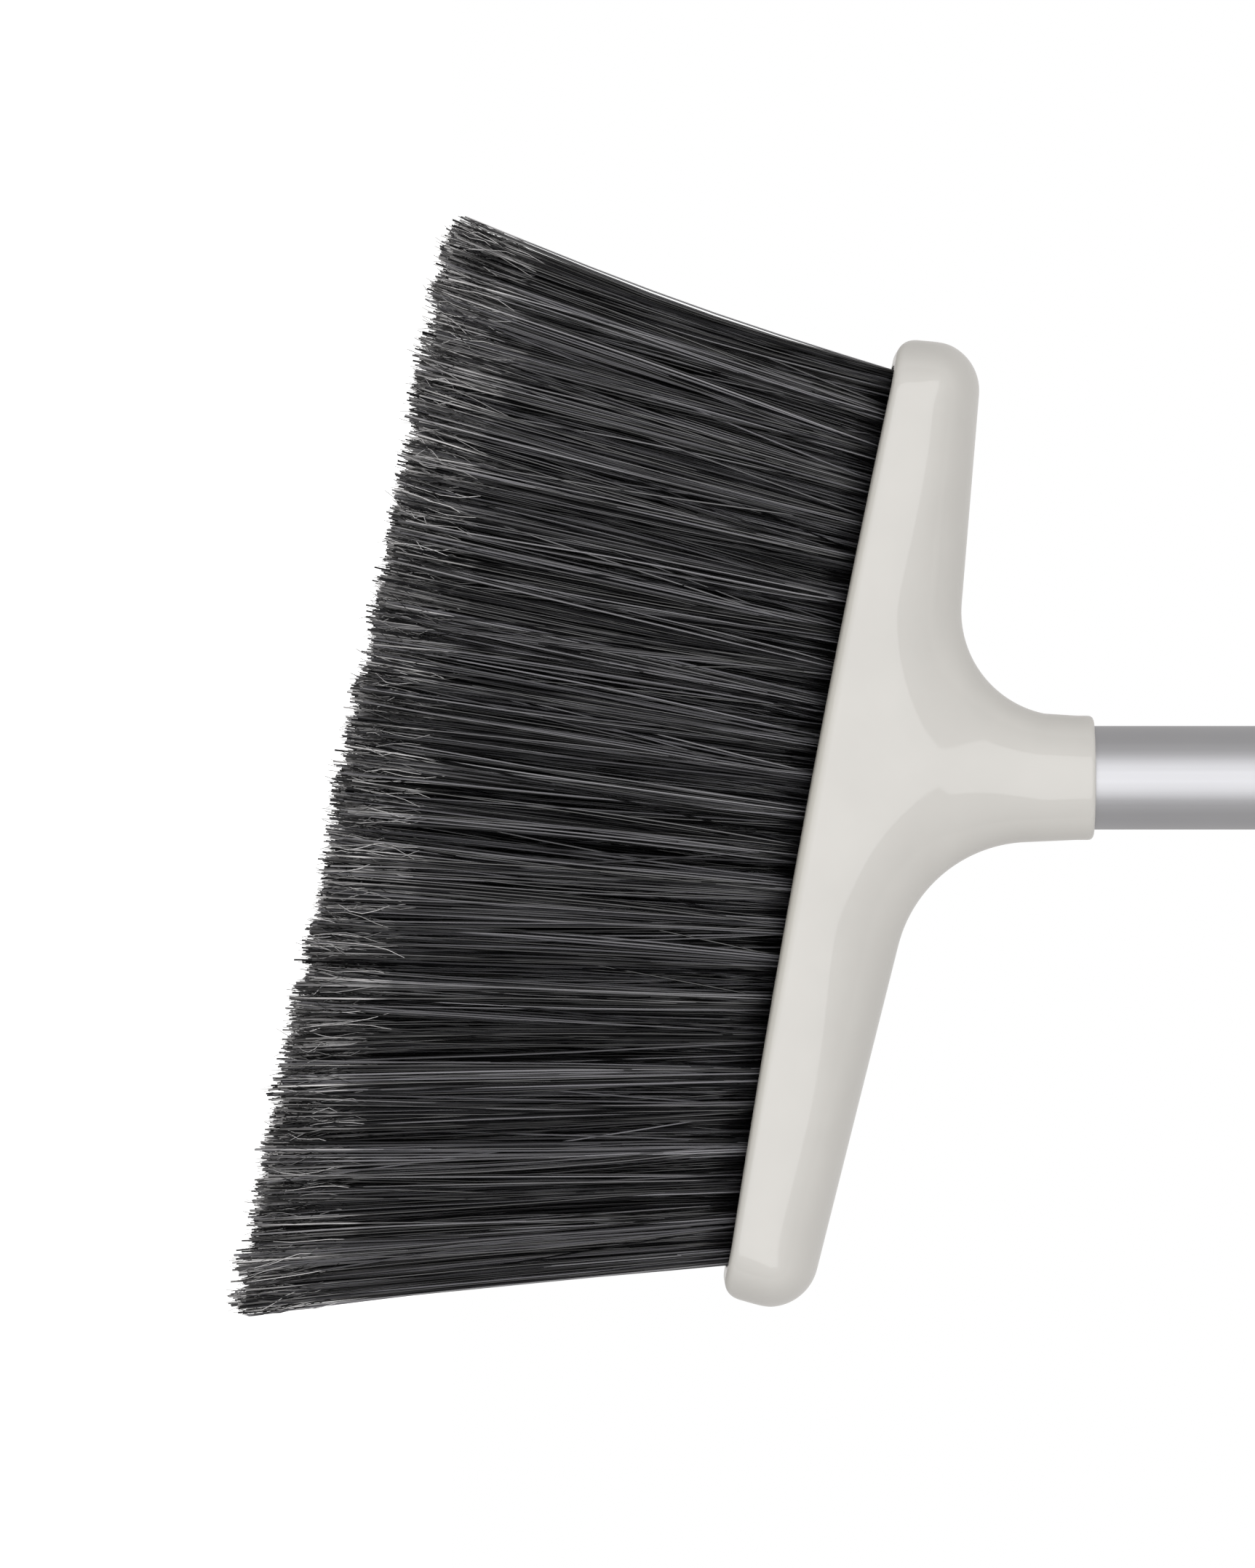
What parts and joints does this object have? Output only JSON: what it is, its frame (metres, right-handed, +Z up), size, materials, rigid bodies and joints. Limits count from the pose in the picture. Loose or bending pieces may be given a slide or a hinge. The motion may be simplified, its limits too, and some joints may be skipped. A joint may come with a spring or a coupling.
{
  "type": "angle broom",
  "caption": "Upright household broom with a tilted plastic head cap, fanned flagged bristle tufts and a round metal handle that screws into the cap",
  "frame": {"origin": "centre of the hanging hole at the top of the handle; the lowest bristle tip is 1229 mm below it", "axes": "+Z up along the handle axis; +X along the head towards its long, low side; +Y through the thickness of the head and along the hanging hole"},
  "size_m": [0.2618, 0.047, 1.2396],
  "materials": {
    "cap_plastic": "satin",
    "block_plastic": "matte",
    "tip_plastic": "matte",
    "bristle": "matte",
    "anchor_wire": "satin",
    "screw_steel": "satin",
    "gasket_rubber": "matte",
    "tube_aluminium": "satin",
    "grip_rubber": "matte"
  },
  "bodies": {
    "handle": {"handle_tube": "tube_aluminium", "threaded_tip": "tip_plastic", "tip_pins": "screw_steel", "grip_sleeve": "grip_rubber", "hang_cap": "cap_plastic"},
    "gasket": {"thread_gasket": "gasket_rubber"},
    "head": {"head_cap": "cap_plastic", "tuft_block": "block_plastic", "tufts_row_1": "bristle", "tufts_row_2": "bristle", "tufts_row_3": "bristle", "tufts_row_4": "bristle", "tufts_row_5": "bristle", "tuft_anchors": "anchor_wire", "block_screws": "screw_steel", "thread_insert": "block_plastic"}
  },
  "joints": [
    {"name": "screw_travel", "type": "slide", "parent": "handle", "child": "gasket", "axis": [0, 0, -1], "range_m": [0, 0.02159]},
    {"name": "head_unscrew", "type": "hinge", "parent": "gasket", "child": "head", "pos_m": [0, 0, -1.03], "axis": [0, 0, -1], "range_deg": [0, 1530]}
  ],
  "couplings": [
    {"joint": "screw_travel", "follows": "head_unscrew", "m_per_rad": 0.00080851}
  ]
}
